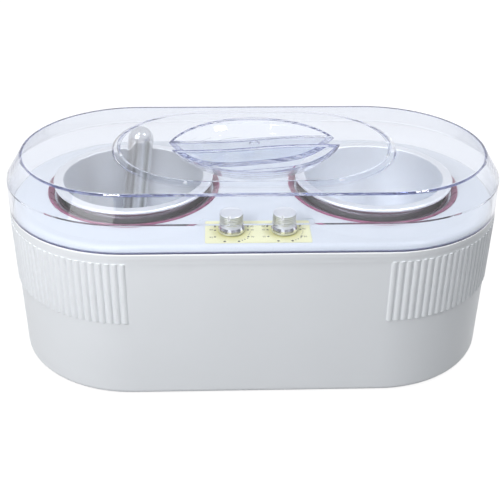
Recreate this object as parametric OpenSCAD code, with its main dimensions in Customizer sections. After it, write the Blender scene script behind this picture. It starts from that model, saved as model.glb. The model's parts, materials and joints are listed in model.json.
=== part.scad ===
// Twin-pot wax warmer with a clear lift-off lid.
// The housing is a racetrack in plan: two round ends, each about one pot, and a straight middle.
// Z = 0 is the floor under the feet, +X runs along the row of pots and -Y is the front.

/* [Plan] */
// Distance between the two pot centres, which are also the centres of the housing's round ends
pot_pitch = 183; // [176:1:200]
// Radius of the housing's round ends at its top edge
housing_radius = 94; // [93:0.5:98]

/* [Housing] */
// Height of the seam between the housing and the lid
seam_height = 123; // [121:1:135]
// How far the housing's wall leans in from its top to its foot
housing_draft = 1; // [0.5:0.1:4]
// Thickness of the housing's wall
housing_wall = 3; // [2.6:0.1:3.4]
// Radius of the rounded lower edge of the housing
foot_round = 4; // [2:0.5:6]
// Height of each of the two bands that run round under the seam
band_height = 4.1; // [3:0.1:5]
// How far each band stands out from the surface below it
band_step = 0.4; // [0.3:0.05:0.6]

/* [Grip ribs] */
// Number of ribs round each end of the housing
rib_count = 54; // [40:1:54]
// Radius of one half-round rib
rib_radius = 2.6; // [2:0.1:2.6]
// How far a rib stands out from the wall
rib_height = 1.1; // [0.6:0.1:1.2]
// Length of the ribs below the bands
rib_length = 50; // [40:1:60]

/* [Base] */
// Height of the rubber feet
foot_height = 2; // [2:0.5:4]
// Radius of a rubber foot
foot_radius = 9; // [7:0.5:10]
// Thickness of the base plate
base_thickness = 2.5; // [2:0.5:3]
// Distance of the base plate's edge inside the housing's top edge
base_inset = 17; // [16:0.5:18]

/* [Deck] */
// Height of the deck above the seam
deck_rise = 5; // [4.5:0.25:6]
// Thickness of the deck
deck_thickness = 2.5; // [2.2:0.1:3]
// Radius of the deck's outer shoulder
deck_shoulder = 4; // [3:0.25:4.25]
// Width of the flat deck between the low mound round each well and the deck's shoulder
mound_margin = 5.2; // [3.2:0.2:11.2]
// Height of the mound at the seal
mound_rise = 1.2; // [0.8:0.1:1.6]

/* [Wells and seals] */
// Inner radius of a heating well
well_radius = 56.5; // [56.2:0.1:57]
// Thickness of the well's sheet
well_sheet = 1.2; // [1:0.1:1.4]
// Outer radius of the well's flange
flange_radius = 62.5; // [62:0.1:63]
// Outer radius of the coloured silicone seal
seal_radius = 65; // [64.6:0.1:65.5]
// Inner radius of the seal
seal_inner_radius = 61.6; // [61.2:0.1:61.8]
// Height of the seal's crown above the mound
seal_crown = 1.3; // [1:0.1:1.6]

/* [Pots] */
// Inner radius of a pot at its mouth
pot_radius = 52.5; // [51:0.25:52.75]
// Thickness of the pot's wall
pot_wall = 1.5; // [1.3:0.1:1.6]
// Height of a pot
pot_height = 85; // [75:1:90]
// Height of the pot's rim above the seam
pot_rim_rise = 14.7; // [13.5:0.25:16]
// Outer radius of the pot's rolled rim
rim_radius = 60; // [58.5:0.25:61]
// Depth of the rolled edge
rim_depth = 2.8; // [2.4:0.1:3]
// How much narrower the pot is at its floor
pot_draft = 1.5; // [1:0.25:2.5]
// Radius of the pot's lower corner
pot_corner = 7; // [5:0.5:9]

/* [Stirring rod] */
// Radius of the round-topped rod
rod_radius = 10; // [8:0.25:10.25]
// Gap between the rod's dome and the flat top of the closed lid
rod_headroom = 0.8; // [0.8:0.1:9]
// Gap between the rod's foot and the pot's wall behind it
rod_back_gap = 7.3; // [7.3:0.1:12]
// Lean of the rod towards the right
rod_lean_right = 7.5; // [5:0.5:8]
// Lean of the rod towards the back
rod_lean_back = 4.5; // [3:0.5:4.5]

/* [Lid] */
// Thickness of the clear lid
lid_wall = 2.4; // [2:0.1:2.6]
// Height of the lid's edge between its skirt and its slope
lid_skirt = 22.5; // [21:0.5:25]
// How far the skirt leans in from the seam to that edge
skirt_draft = 0.5; // [0.3:0.1:0.8]
// Height of the lid's flat top above the seam
lid_rise = 40; // [39.5:0.5:46]
// How far the slope draws the top in
slope_inset = 11.3; // [9:0.1:13]
// Width of the lid's flat margin outside the raised panel's slope
panel_margin = 12; // [11.4:0.2:15.4]
// Half the straight length of the raised panel
panel_half = 36; // [30:1:44]
// Height of the raised panel above the flat top
panel_rise = 2; // [1.8:0.1:3]
// Width of the slope round the raised panel
panel_slope = 3.8; // [3:0.1:5]

/* [Lid grip] */
// Radius of the arcs that bound the two finger scoops
scoop_radius = 65; // [62:0.5:66]
// Distance from the lid's middle to the far point of each scoop
scoop_reach = 51; // [49:0.1:53]
// Depth of the dish that makes a scoop
scoop_depth = 18.4; // [9:0.2:19]
// How flat the dish is at its middle: 2 is a plain bowl, and more is flatter with a steeper edge
scoop_flatness = 4.5; // [2:0.5:5]
// Half the width of the grip bar
grip_half = 8.8; // [8:0.1:12]
// Distance along the lid from its middle to where the grip bar bends furthest
grip_reach = 45; // [40:1:60]
// Slope of the grip bar at its middle
grip_turn = 12; // [6:0.5:12]

/* [Dials] */
// Distance between the two dials
dial_pitch = 37; // [36.6:0.2:44]
// Distance of the dials behind the housing's front edge
dial_inset = 24.5; // [23.5:0.25:26]
// Width of the dial plate
plate_width = 74; // [72:1:80]
// Depth of the dial plate, front to back
plate_depth = 30; // [28:0.5:30]
// Distance of the dial plate's middle behind the housing's front edge
plate_inset = 22.5; // [22.25:0.25:23]
// Thickness of the dial plate
plate_thickness = 0.6; // [0.5:0.1:0.8]
// Radius of a knob's grip
knob_radius = 8.2; // [8:0.1:8.6]
// Radius of a knob's flared foot
knob_foot_radius = 9.2; // [9:0.1:9.8]
// Height of a knob
knob_height = 14; // [13:0.25:15]
// Radius of a knob's shaft
shaft_radius = 3; // [2.5:0.25:3]
// Angle of a knob's pointer from the front, towards the left
pointer_angle = 15; // [0:1:20]

/* [Inner parts] */
// Side of a thermostat's square case
thermostat_side = 31; // [28:0.5:32]
// Height of a thermostat's case
thermostat_height = 14; // [12:0.5:18]
// Thickness of a heater band
heater_thickness = 2.4; // [2:0.1:3]
// Height of a heater band
heater_height = 26; // [20:1:28]
// Thickness of the insulating sleeve
sleeve_thickness = 4; // [3:0.5:5]
// Height left for the sensor between the insulating sleeve and the deck's collar
sensor_room = 19.8; // [18:0.2:26]
// Radius of the mains cord's inlet
inlet_radius = 4; // [3.5:0.25:4.5]
// Height of the inlet above the floor
inlet_height = 30; // [26:1:40]

/* [Fits] */
// Gap between parts that lift away from each other
lift_gap = 0.3; // [0.3:0.05:0.5]
// Gap between parts of the housing that slip together
slip_gap = 0.3; // [0.2:0.05:0.4]
// Gap between a shaft and its bush, on the radius
shaft_gap = 0.05; // [0.03:0.01:0.08]
// Gap between the dial plate and a knob
knob_gap = 0.5; // [0.3:0.1:0.8]

/* [Hidden] */
$fn = 96;

// A cut passes this far beyond what it cuts
over = 1;
end_x = pot_pitch / 2;

// Heights of the housing
shell_bottom = foot_height;
bands_bottom = seam_height - 2 * band_height;
wall_top_radius = housing_radius - 2 * band_step;
wall_foot_radius = wall_top_radius - housing_draft;
draft_angle = atan(housing_draft / (bands_bottom - shell_bottom));
function wall_radius(z) = wall_top_radius - (bands_bottom - z) * tan(draft_angle);

// Seat of the deck's skirt inside the housing
rim_wall = 2.5;
seat_depth = 14;
seat_z = seam_height - seat_depth;
rim_inner_radius = housing_radius - rim_wall;
deck_radius = rim_inner_radius - slip_gap;
deck_wall = 2.5;
deck_z = seam_height + deck_rise;
deck_under = deck_z - deck_thickness;
mound_radius = deck_radius - deck_shoulder - mound_margin;

// Base plate, the rabbet that takes it and the lip above it
base_radius = housing_radius - base_inset;
rabbet_radius = base_radius + slip_gap;
lip_radius = base_radius - 6;
lip_z = shell_bottom + base_thickness;
lip_top = lip_z + 2.5;
inner_shelf = 3;

// Stations of the screws along the housing's two long sides and at its ends
screw_radius = 1.5;
screw_hole = 1.7;
screw_pass = 2;
screw_head_radius = 3;
screw_head_height = 1.8;
screw_length = 14;
post_radius = 4;
base_screw_line = base_radius - 5;
base_screws_at = [
    [-end_x / 1.5, -base_screw_line], [end_x / 1.5, -base_screw_line],
    [-end_x / 1.5, base_screw_line], [end_x / 1.5, base_screw_line],
    [-end_x - base_screw_line, 0], [end_x + base_screw_line, 0]];
post_cover = 7;
base_post_top = shell_bottom + screw_length + post_cover;
deck_post_inset = 12.5;
deck_post_length = 27;
deck_post_x = end_x / 2;
deck_post_y = deck_radius - deck_post_inset;
deck_post_bottom = deck_z - deck_post_length;
lug_thickness = 4;
lug_half = 6;
feet_inset = 25;
feet_x = end_x;
feet_y = base_radius - feet_inset;
foot_stem = 3;
terminal_y = feet_y;

// Wells, seals and pots, from the deck down
seal_seat = deck_z - 2;
well_outer = well_radius + well_sheet;
well_corner = 9;
deck_opening = well_outer + 0.8;
collar_radius = seal_radius + 2.5;
collar_bottom = seal_seat - 4;
seal_top = deck_z + mound_rise + seal_crown;
pot_rim_z = seam_height + pot_rim_rise;
pot_bottom = pot_rim_z - pot_height;
well_floor = pot_bottom - lift_gap;
well_bottom = well_floor - well_sheet;

// Heaters and insulation hug the outside of the wells
heater_inner = well_outer + 0.1;
heater_outer = heater_inner + heater_thickness;
heater_z = well_bottom + well_corner + 2;
sleeve_inner = heater_outer + 0.1;
sleeve_outer = sleeve_inner + sleeve_thickness;
sleeve_z = well_bottom + well_corner - 2;
sleeve_top = collar_bottom - sensor_room;
sleeve_height = sleeve_top - sleeve_z;

// Dials
dial_front = housing_radius - dial_inset;
plate_front = housing_radius - plate_inset;
plate_z = deck_z - plate_thickness + 0.2;
plate_top = plate_z + plate_thickness;
knob_bottom = plate_top + knob_gap;
knob_top = plate_top + knob_height;
bush_radius = 4.6;
bush_top = plate_top + 4;
nut_radius = 6.6;
nut_height = 2.4;
nut_clear = 0.6;
thermostat_z = deck_under - thermostat_height;
shaft_bottom = thermostat_z + 5;
shaft_top = knob_top - 2.5;

// Bushing in the back wall
grommet_radius = inlet_radius + 3;

// Lid
lid_bottom = seam_height + lift_gap;
skirt_z = seam_height + lid_skirt;
lid_z = seam_height + lid_rise;
panel_z = lid_z + panel_rise;
skirt_top_radius = housing_radius - skirt_draft;
lid_top_radius = skirt_top_radius - slope_inset;
panel_radius = lid_top_radius - panel_margin - panel_slope;
lid_edge_round = 2.5;
slope_angle = atan2(lid_z - skirt_z, slope_inset);
slope_shift = lid_wall / sin(slope_angle);
under_z = lid_z - lid_wall;
dish_steps = 12;
gate_radius = 4;
gate_depth = 0.8;

// Points along an arc, from one angle to another
function arc(cx, cy, r, from, to, steps) =
    [for (i = [0:steps]) let (a = from + (to - from) * i / steps) [cx + r * cos(a), cy + r * sin(a)]];

// A profile from bottom to top, closed on the axis or with its mirror image
function to_axis(p) = concat([[0, p[0][1]]], p, [[0, p[len(p) - 1][1]]]);
function both_sides(p) = concat(p, [for (i = [len(p) - 1:-1:0]) [-p[i][0], p[i][1]]]);

// A racetrack solid: the profile turned round both ends and run straight between them
module racetrack(half, profile) {
    for (s = [-1, 1])
        translate([s * half, 0, 0])
            rotate([0, 0, -s * 90])
                rotate_extrude(angle = 180)
                    polygon(to_axis(profile));
    rotate([90, 0, 90])
        linear_extrude(height = 2 * half, center = true)
            polygon(both_sides(profile));
}

// A round solid turned from a closed outline
module turned(outline) {
    rotate_extrude()
        polygon(outline);
}

// A flat plate with rounded corners
module rounded_plate(width, depth, thickness, corner) {
    linear_extrude(height = thickness) {
        square([width - 2 * corner, depth], center = true);
        square([width, depth - 2 * corner], center = true);
        for (x = [-1, 1])
            for (y = [-1, 1])
                translate([x * (width / 2 - corner), y * (depth / 2 - corner)])
                    circle(corner);
    }
}

// Places its children at each of the given points in plan
module at_points(points) {
    for (p = points)
        translate([p[0], p[1], 0])
            children();
}

function deck_posts() = [for (x = [-1, 1]) for (y = [-1, 1]) [x * deck_post_x, y * deck_post_y]];

// One half-round grip rib, which follows the lean of the wall
module rib() {
    top_r = wall_radius(bands_bottom) + rib_height - rib_radius;
    translate([top_r, 0, bands_bottom + over / 2])
        rotate([0, draft_angle, 0])
            mirror([0, 0, 1]) {
                cylinder(r = rib_radius, h = rib_length - rib_height, $fn = 32);
                translate([0, 0, rib_length - rib_height])
                    cylinder(r1 = rib_radius, r2 = rib_radius - rib_height, h = rib_height, $fn = 32);
            }
}

module grip_ribs() {
    step = 180 / rib_count;
    for (s = [-1, 1])
        for (i = [0:rib_count - 1])
            translate([s * end_x, 0, 0])
                rotate([0, 0, -s * 90 + (i + 0.5) * step])
                    rib();
}

// Outside of the housing: rounded foot, leaning wall and two stepped bands
function shell_profile() = concat(
    arc(wall_foot_radius - foot_round, shell_bottom + foot_round, foot_round, -90, 0, 6),
    [[wall_radius(bands_bottom), bands_bottom],
     [housing_radius - band_step, bands_bottom],
     [housing_radius - band_step, seam_height - band_height],
     [housing_radius, seam_height - band_height],
     [housing_radius, seam_height - band_step],
     [housing_radius - band_step, seam_height]]);

// Inside of the housing, open at the foot and at the top
function shell_cavity() = [
    [lip_radius, shell_bottom - over],
    [lip_radius, lip_top],
    [wall_radius(lip_top) - housing_wall - inner_shelf, lip_top],
    [wall_radius(lip_top + inner_shelf) - housing_wall, lip_top + inner_shelf],
    [wall_radius(seat_z) - housing_wall, seat_z],
    [rim_inner_radius, seat_z],
    [rim_inner_radius, seam_height + over]];

module body_shell() {
    color("whitesmoke")
        difference() {
            union() {
                difference() {
                    union() {
                        racetrack(end_x, shell_profile());
                        grip_ribs();
                    }
                    racetrack(end_x, shell_cavity());
                }
                base_posts();
                deck_lugs();
            }
            racetrack(end_x, [[rabbet_radius, shell_bottom - over], [rabbet_radius, lip_z]]);
            at_points(base_screws_at)
                translate([0, 0, shell_bottom - over])
                    cylinder(r = screw_hole, h = base_post_top - shell_bottom - over, $fn = 32);
            at_points(deck_posts())
                translate([0, 0, deck_post_bottom - lug_thickness - over])
                    cylinder(r = screw_pass, h = lug_thickness + 2 * over, $fn = 32);
            translate([0, 0, inlet_height])
                rotate([-90, 0, 0])
                    cylinder(r = grommet_radius, h = housing_radius + over);
        }
}

// Posts inside the shell that the base screws bite into
module base_posts() {
    at_points(base_screws_at)
        translate([0, 0, lip_z])
            cylinder(r = post_radius, h = base_post_top - lip_z, $fn = 32);
}

// Lugs on the shell's inner wall that carry the deck's posts
module deck_lugs() {
    wall_y = wall_radius(deck_post_bottom) - housing_wall / 2;
    for (p = deck_posts())
        translate([p[0] - lug_half, p[1] > 0 ? p[1] - lug_half : -wall_y, deck_post_bottom - lug_thickness])
            cube([2 * lug_half, wall_y - deck_post_y + lug_half, lug_thickness]);
}

module base_plate() {
    color("gainsboro")
        difference() {
            racetrack(end_x, [[base_radius, shell_bottom], [base_radius, lip_z]]);
            at_points(base_screws_at)
                translate([0, 0, shell_bottom - over])
                    cylinder(r = screw_pass, h = base_thickness + 2 * over, $fn = 32);
            for (x = [-1, 1])
                for (y = [-1, 1])
                    translate([x * feet_x, y * feet_y, shell_bottom - over])
                        cylinder(r = foot_stem + 0.1, h = base_thickness + 2 * over, $fn = 32);
            for (s = [-1, 1])
                for (i = [-3:3])
                    translate([s * end_x + i * 9, 0, shell_bottom - over])
                        vent_slot();
        }
}

// A slot that lets warm air into the base
module vent_slot() {
    slot_radius = 1.5;
    slot_half = 14;
    linear_extrude(height = base_thickness + 2 * over) {
        square([2 * slot_radius, 2 * slot_half], center = true);
        for (y = [-1, 1])
            translate([0, y * slot_half])
                circle(slot_radius, $fn = 24);
    }
}

// A rubber foot with its stem, pushed into the base plate; x and y give its corner
module foot(x, y) {
    color("dimgray")
        translate([x * feet_x, y * feet_y, 0]) {
            turned(concat(
                [[0, 0]],
                arc(foot_radius - 1, 1, 1, -90, 0, 3),
                [[foot_radius, foot_height], [0, foot_height]]));
            cylinder(r = foot_stem, h = foot_height + base_thickness + 1.5, $fn = 32);
        }
}

// A cross-recessed pan-head screw that points up, its head seated at the given height
module screw_up(head_z) {
    slot = [3.4, 0.9, 1.1];
    head_bottom = head_z - screw_head_height;
    difference() {
        translate([0, 0, head_bottom])
            cylinder(r = screw_head_radius, h = screw_head_height, $fn = 32);
        for (turn = [0, 90])
            translate([0, 0, head_bottom])
                rotate([0, 0, turn])
                    cube([slot[0], slot[1], 2 * slot[2]], center = true);
    }
    translate([0, 0, head_z - screw_head_height + slot[2] + 0.2])
        cylinder(r = screw_radius, h = screw_length + screw_head_height - slot[2] - 0.2, $fn = 32);
}

module base_screws() {
    color("silver")
        at_points(base_screws_at)
            screw_up(shell_bottom);
}

module deck_screws() {
    color("silver")
        at_points(deck_posts())
            screw_up(deck_post_bottom - lug_thickness);
}

// Outside and inside of the deck
function deck_profile() = concat(
    [[deck_radius, seat_z]],
    arc(deck_radius - deck_shoulder, deck_z - deck_shoulder, deck_shoulder, 0, 90, 6));
function deck_cavity() = [
    [deck_radius - deck_wall, seat_z - over],
    [deck_radius - deck_wall, deck_under - 2],
    [deck_radius - deck_wall - 2, deck_under]];

module top_deck() {
    color("aliceblue")
        difference() {
            union() {
                difference() {
                    racetrack(end_x, deck_profile());
                    racetrack(end_x, deck_cavity());
                }
                deck_mounds();
                for (s = [-1, 1])
                    translate([s * end_x, 0, collar_bottom])
                        cylinder(r = collar_radius, h = deck_under - collar_bottom + over / 2);
                at_points(deck_posts())
                    translate([0, 0, deck_post_bottom])
                        cylinder(r = post_radius, h = deck_under - deck_post_bottom + over / 2, $fn = 32);
            }
            for (s = [-1, 1])
                translate([s * end_x, 0, 0]) {
                    translate([0, 0, collar_bottom - over])
                        cylinder(r = deck_opening, h = deck_z + mound_rise - collar_bottom + 2 * over);
                    translate([0, 0, seal_seat])
                        cylinder(r = seal_radius + 0.1, h = deck_z + mound_rise - seal_seat + over);
                }
            translate([0, -plate_front, plate_z])
                rounded_plate(plate_width + 0.3, plate_depth + 0.3, plate_thickness + over, 1.5);
            for (s = [-1, 1])
                translate([s * dial_pitch / 2, -dial_front, deck_under - over])
                    cylinder(r = bush_radius + 0.2, h = deck_thickness + 2 * over, $fn = 48);
            at_points(deck_posts())
                translate([0, 0, deck_post_bottom - over])
                    cylinder(r = screw_hole, h = screw_length + 2 * over, $fn = 32);
        }
}

// Low mounds round the wells, cut flat about the dial plate
module deck_mounds() {
    flat_side = 4;
    edge = seal_radius + 1.5;
    under = seal_radius - 2;
    shoulder = seal_radius + (mound_radius - seal_radius) * 0.35;
    difference() {
        for (s = [-1, 1])
            translate([s * end_x, 0, 0])
                turned([
                    [under, deck_z - over],
                    [mound_radius, deck_z - over],
                    [mound_radius, deck_z],
                    [shoulder, deck_z + mound_rise * 0.8],
                    [edge, deck_z + mound_rise],
                    [under, deck_z + mound_rise]]);
        translate([0, -plate_front, deck_z])
            rounded_plate(plate_width + 2 * flat_side, plate_depth + 1.2 * flat_side, mound_rise + over, 2);
    }
}

// A pressed aluminium well that hangs by its flange in the deck
module well(side) {
    color("lightgray")
        translate([side * end_x, 0, 0])
            turned(concat(
                [[0, well_bottom]],
                arc(well_outer - well_corner, well_bottom + well_corner, well_corner, -90, 0, 8),
                [[well_outer, seal_seat],
                 [flange_radius, seal_seat],
                 [flange_radius, seal_seat + well_sheet],
                 [well_radius, seal_seat + well_sheet]],
                arc(well_outer - well_corner, well_bottom + well_corner, well_corner - well_sheet, 0, -90, 8),
                [[0, well_floor]]));
}

// Silicone seal: an L section that caps the flange's edge, with a round crown
module seal(side) {
    crown = (seal_radius - seal_inner_radius) / 2;
    middle = seal_inner_radius + crown;
    crown_height = 1.6;
    crown_z = seal_top - crown_height;
    color("palevioletred")
        translate([side * end_x, 0, 0])
            turned(concat(
                [[flange_radius + 0.1, seal_seat],
                 [seal_radius, seal_seat]],
                [for (p = arc(0, 0, 1, 0, 180, 10)) [middle + crown * p[0], crown_z + crown_height * p[1]]],
                [[seal_inner_radius, seal_seat + well_sheet],
                 [flange_radius + 0.1, seal_seat + well_sheet]]));
}

// A split heater band, its gap towards the housing's middle
module heater_band(side) {
    gap_angle = 12;
    color("tan")
        translate([side * end_x, 0, heater_z])
            rotate([0, 0, 90 + side * 90]) {
                rotate([0, 0, gap_angle / 2])
                    rotate_extrude(angle = 360 - gap_angle)
                        translate([heater_inner, 0])
                            square([heater_thickness, heater_height]);
            }
}

// Glass-fibre sleeve round the heater band
module insulation(side) {
    color("khaki")
        translate([side * end_x, 0, sleeve_z])
            difference() {
                cylinder(r = sleeve_outer, h = sleeve_height);
                translate([0, 0, -over])
                    cylinder(r = sleeve_inner, h = sleeve_height + 2 * over);
            }
}

// Thermal cut-off in its clip under the well's floor
module thermal_fuse(side) {
    clip = [24, 12, 1.2];
    fuse_radius = 2.2;
    fuse_length = 16;
    color("beige")
        translate([side * end_x, 0, well_bottom]) {
            translate([-clip[0] / 2, -clip[1] / 2, -clip[2]])
                cube(clip);
            translate([-fuse_length / 2, 0, -clip[2] - fuse_radius + 0.3])
                rotate([0, 90, 0])
                    cylinder(r = fuse_radius, h = fuse_length, $fn = 32);
        }
}

// A drawn aluminium pot with a broad flat lip and a rolled edge
module pot(side) {
    outer = pot_radius + pot_wall;
    floor_r = outer - pot_draft;
    roll = rim_depth / 2;
    color("silver")
        translate([side * end_x, 0, 0])
            turned(concat(
                [[0, pot_bottom]],
                arc(floor_r - pot_corner, pot_bottom + pot_corner, pot_corner, -90, 0, 8),
                [[outer, pot_rim_z - pot_wall],
                 [rim_radius - rim_depth, pot_rim_z - pot_wall]],
                arc(rim_radius - roll, pot_rim_z - roll, roll, -120, 90, 8),
                arc(pot_radius + 1, pot_rim_z - 1, 1, 90, 180, 4),
                arc(floor_r - pot_corner, pot_bottom + pot_corner, pot_corner - pot_wall, 0, -90, 8),
                [[0, pot_bottom + pot_wall]]));
}

// A round-topped rod that stands in the left pot and leans towards its back rim
module stirring_rod() {
    foot_x = -end_x - 9;
    foot_y = pot_radius - pot_draft - rod_radius - rod_back_gap;
    foot_z = pot_bottom + pot_wall + lift_gap + rod_radius * sin(rod_lean_right + rod_lean_back);
    upright = cos(rod_lean_right) * cos(rod_lean_back);
    rod_length = rod_radius + (under_z - rod_headroom - rod_radius - foot_z) / upright;
    color("gainsboro")
        translate([foot_x, foot_y, foot_z])
            rotate([-rod_lean_back, rod_lean_right, 0])
                turned(concat(
                    [[0, 0]],
                    arc(rod_radius - 1, 1, 1, -90, 0, 3),
                    arc(0, rod_length - rod_radius, rod_radius, 0, 90, 12)));
}

// Thermostat case with its threaded bush, bored for the shaft
module thermostat(side) {
    ear = 4;
    color("slategray")
        translate([side * dial_pitch / 2, -dial_front, 0])
            difference() {
                union() {
                    translate([-thermostat_side / 2, -thermostat_side / 2, thermostat_z])
                        cube([thermostat_side, thermostat_side, thermostat_height]);
                    translate([0, 0, deck_under - over])
                        cylinder(r = bush_radius, h = bush_top - deck_under + over, $fn = 48);
                    for (x = [-9, 0, 9])
                        translate([x - ear / 2, thermostat_side / 2 - over, thermostat_z + 3])
                            cube([ear, 7 + over, 0.8]);
                }
                translate([0, 0, shaft_bottom - lift_gap])
                    cylinder(r = shaft_radius + shaft_gap, h = bush_top - shaft_bottom + over, $fn = 48);
            }
}

// Temperature sensor on the well's side, with the capillary that leads to the thermostat
// and the collar that holds it where it bends
module sensor(side) {
    bulb_radius = 2.4;
    bulb_margin = 1.9;
    bulb_length = sensor_room - 2 * bulb_margin;
    pipe = 0.9;
    lead_in = 3;
    collar = 3.6;
    away = atan2(-dial_front, dial_pitch / 2 - end_x);
    bulb_line = well_outer + 0.2 + bulb_radius;
    bulb = [end_x + bulb_line * cos(away), bulb_line * sin(away), sleeve_top + bulb_margin];
    case_x = dial_pitch / 2 + thermostat_side / 2 + pipe;
    case_side = [case_x, -dial_front + 9.5, thermostat_z + thermostat_height / 2];
    corner = [bulb[0] - 7, bulb[1] - 4, case_side[2]];
    color("peru") {
        translate([side * bulb[0], bulb[1], bulb[2]])
            cylinder(r = bulb_radius, h = bulb_length, $fn = 32);
        run(side, bulb + [0, 0, lead_in], corner, pipe);
        run(side, corner, case_side, pipe);
        translate([side * corner[0], corner[1], corner[2] - collar / 2])
            cylinder(r = 1.6, h = collar, $fn = 24);
    }
}

// A straight length of round pipe between two points
module run(side, from, to, radius) {
    d = to - from;
    length = norm(d);
    translate([side * from[0], from[1], from[2]])
        rotate([0, acos(d[2] / length), atan2(d[1], side * d[0])])
            cylinder(r = radius, h = length, $fn = 24);
}

module shaft_nut(side) {
    color("goldenrod")
        translate([side * dial_pitch / 2, -dial_front, plate_top])
            difference() {
                cylinder(r = nut_radius, h = nut_height, $fn = 6);
                translate([0, 0, -over])
                    cylinder(r = bush_radius + 0.05, h = nut_height + 2 * over, $fn = 48);
            }
}

// D-shaped control shaft
module shaft(side) {
    flat_depth = 1;
    color("lightsteelblue")
        translate([side * dial_pitch / 2, -dial_front, 0])
            difference() {
                translate([0, 0, shaft_bottom])
                    cylinder(r = shaft_radius, h = shaft_top - shaft_bottom, $fn = 48);
                translate([-shaft_radius, shaft_radius - flat_depth, bush_top + 1])
                    cube([2 * shaft_radius, flat_depth + over, shaft_top]);
            }
}

// Turned knob: a straight grip over a flared foot, hollow below for the nut and bush
module knob(side) {
    flare_z = knob_bottom + 3.2;
    grip_z = knob_bottom + 6.4;
    dish = 0.3;
    notch = [1.4, 3, 2.4];
    color("silver")
        translate([side * dial_pitch / 2, -dial_front, 0])
            difference() {
                turned(concat(
                    [[0, knob_bottom],
                     [knob_foot_radius - 0.4, knob_bottom],
                     [knob_foot_radius, knob_bottom + 0.4],
                     [knob_foot_radius, flare_z],
                     [knob_radius - 0.3, grip_z],
                     [knob_radius - 0.3, grip_z + 0.5],
                     [knob_radius, grip_z + 0.8]],
                    arc(knob_radius - 0.6, knob_top - 0.6, 0.6, 0, 90, 3),
                    [[knob_radius - 1.2, knob_top],
                     [knob_radius - 1.8, knob_top - dish],
                     [0, knob_top - dish]]));
                translate([0, 0, knob_bottom - over])
                    cylinder(r = nut_radius + nut_clear, h = bush_top - knob_bottom + lift_gap + over);
                translate([0, 0, knob_bottom])
                    cylinder(r = shaft_radius + shaft_gap, h = shaft_top - knob_bottom, $fn = 48);
                rotate([0, 0, -90 - pointer_angle])
                    translate([knob_radius - notch[1], -notch[0] / 2, knob_top - notch[2]])
                        cube([notch[1] + over, notch[0], notch[2] + over]);
            }
}

// Printed plate round the two knobs
module dial_plate() {
    color("palegoldenrod")
        difference() {
            translate([0, -plate_front, plate_z])
                rounded_plate(plate_width, plate_depth, plate_thickness, 1.5);
            for (s = [-1, 1])
                translate([s * dial_pitch / 2, -dial_front, plate_z - over])
                    cylinder(r = bush_radius + 0.1, h = plate_thickness + 2 * over, $fn = 48);
        }
}

// Three-way terminal block on the base plate, where the mains cord ends
module terminal_block() {
    block = [32, 16, 13];
    screw_pitch = 9;
    color("ivory")
        translate([0, terminal_y, lip_z])
            difference() {
                translate([-block[0] / 2, -block[1] / 2, 0])
                    cube(block);
                for (i = [-1:1]) {
                    translate([i * screw_pitch, -3.5, block[2] - 4])
                        cylinder(r = 2, h = 4 + over, $fn = 32);
                    translate([i * screw_pitch, 3.5, block[2] - 4])
                        cylinder(r = 2, h = 4 + over, $fn = 32);
                    translate([i * screw_pitch, -block[1] / 2 - over, 5])
                        rotate([-90, 0, 0])
                            cylinder(r = 1.6, h = block[1] + 2 * over, $fn = 32);
                }
            }
}

// Rubber bushing in the back wall, its two flanges clear of the leaning wall
module cord_grommet() {
    flange = 2.5;
    lap = 2.5;
    round_over = 1;
    bush = grommet_radius - 0.1;
    outside = wall_radius(inlet_height + grommet_radius + lap) + slip_gap;
    inside = wall_radius(inlet_height - grommet_radius - lap) - housing_wall - slip_gap;
    color("dimgray")
        translate([0, 0, inlet_height])
            rotate([-90, 0, 0])
                turned([
                    [inlet_radius, inside - flange],
                    [grommet_radius + lap, inside - flange],
                    [grommet_radius + lap, inside],
                    [bush, inside],
                    [bush, outside],
                    [grommet_radius + lap, outside],
                    [grommet_radius + lap, outside + flange - round_over],
                    [grommet_radius + lap - round_over, outside + flange],
                    [inlet_radius, outside + flange]]);
}

// Clear lid: skirt, slope, flat top and raised panel, hollow throughout
function lid_profile() = concat(
    [[housing_radius, lid_bottom],
     [skirt_top_radius, skirt_z - 1],
     [skirt_top_radius - 0.35, skirt_z + 0.6]],
    [for (p = arc(0, 0, lid_edge_round, 90 - slope_angle, 90, 4))
        [lid_top_radius - lid_edge_round * tan(slope_angle / 2) + p[0], lid_z - lid_edge_round + p[1]]]);
function lid_cavity() = [
    [housing_radius - lid_wall, lid_bottom - over],
    [skirt_top_radius - lid_wall, skirt_z - 1.5],
    [lid_top_radius - slope_shift + (lid_z - under_z) / tan(slope_angle), under_z]];

module lid() {
    color("lavender", 0.4)
        difference() {
            union() {
                difference() {
                    union() {
                        racetrack(end_x, lid_profile());
                        racetrack(panel_half, [
                            [panel_radius + panel_slope, lid_z - over],
                            [panel_radius + panel_slope, lid_z],
                            [panel_radius, panel_z]]);
                    }
                    racetrack(end_x, lid_cavity());
                    racetrack(panel_half, [
                        [panel_radius + panel_slope - lid_wall, under_z - over],
                        [panel_radius + panel_slope - lid_wall, under_z],
                        [panel_radius - lid_wall, panel_z - lid_wall]]);
                }
                for (turn = [0, 180])
                    rotate([0, 0, turn])
                        scoop(lid_wall, panel_z - lid_wall / 2);
            }
            for (turn = [0, 180])
                rotate([0, 0, turn])
                    scoop(0, panel_z + over);
            gate_mark();
        }
}

// Shallow round recess on the grip bar, where the mould was filled
module gate_mark() {
    depth = gate_depth + over;
    translate([0, 0, panel_z - gate_depth])
        cylinder(r1 = gate_radius - gate_depth, r2 = gate_radius + over, h = depth, $fn = 48);
}

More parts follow.
